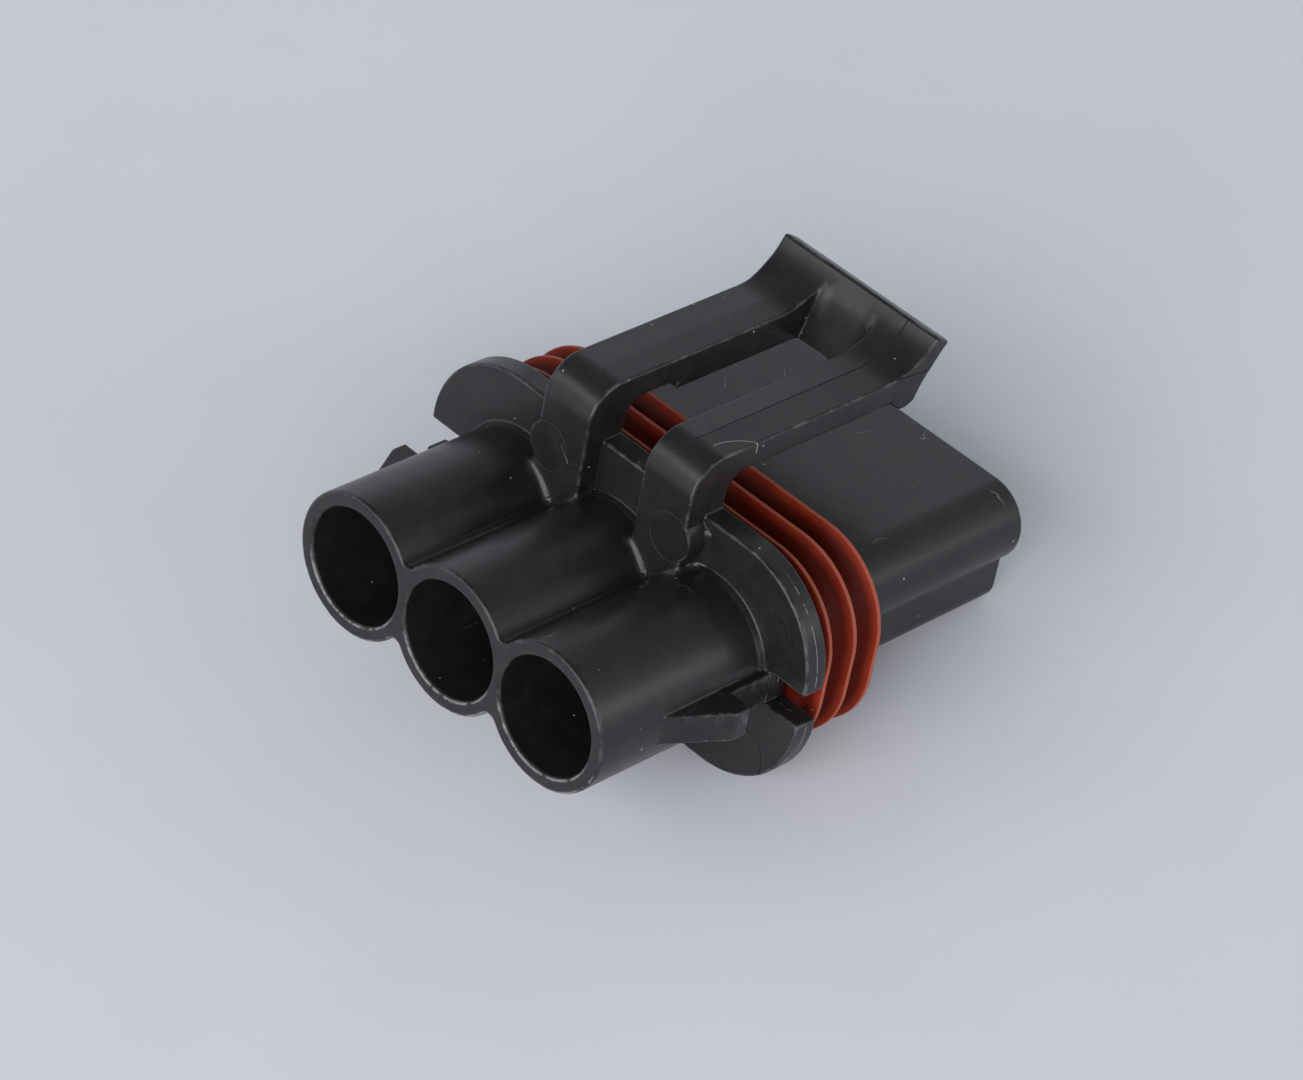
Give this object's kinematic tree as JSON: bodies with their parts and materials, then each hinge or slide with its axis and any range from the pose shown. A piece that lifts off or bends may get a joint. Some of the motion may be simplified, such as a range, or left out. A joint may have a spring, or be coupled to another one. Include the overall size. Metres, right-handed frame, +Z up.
{
  "type": "sealed automotive connector plug",
  "caption": "Sealed wire connector plug in dark moulded plastic, with rear wire tubes, a flange, a ribbed rubber ring seal and a sprung latch loop over its nose.",
  "frame": {"origin": "on the table under the middle of the part: the centre of the bottom of its bounding box as it lies at rest", "axes": "+Y along the table towards the nose, the way the plug goes into its mate; +Z up, towards the latch; +X to the right seen from the wire tubes. The part rests on the flange's lower edge and the nose's lower front edge, so its own length axis dips 11 degrees below +Y"},
  "size_m": [0.0304, 0.0344, 0.0185],
  "materials": {
    "moulded_plastic": "fine satin moulded surface with slightly brighter worn edges",
    "seal_rubber": "smooth moulded silicone with a soft sheen"
  },
  "bodies": {
    "root": {"housing": "moulded_plastic", "seal": "seal_rubber"},
    "latch": {"latch": "moulded_plastic"}
  },
  "joints": [
    {"name": "latch_lift", "type": "hinge", "parent": "root", "child": "latch", "pos_m": [0, -0.00422, 0.01538], "axis": [1, 0, 0], "range_deg": [0, 10], "stiffness_Nm_per_rad": 0.5}
  ]
}
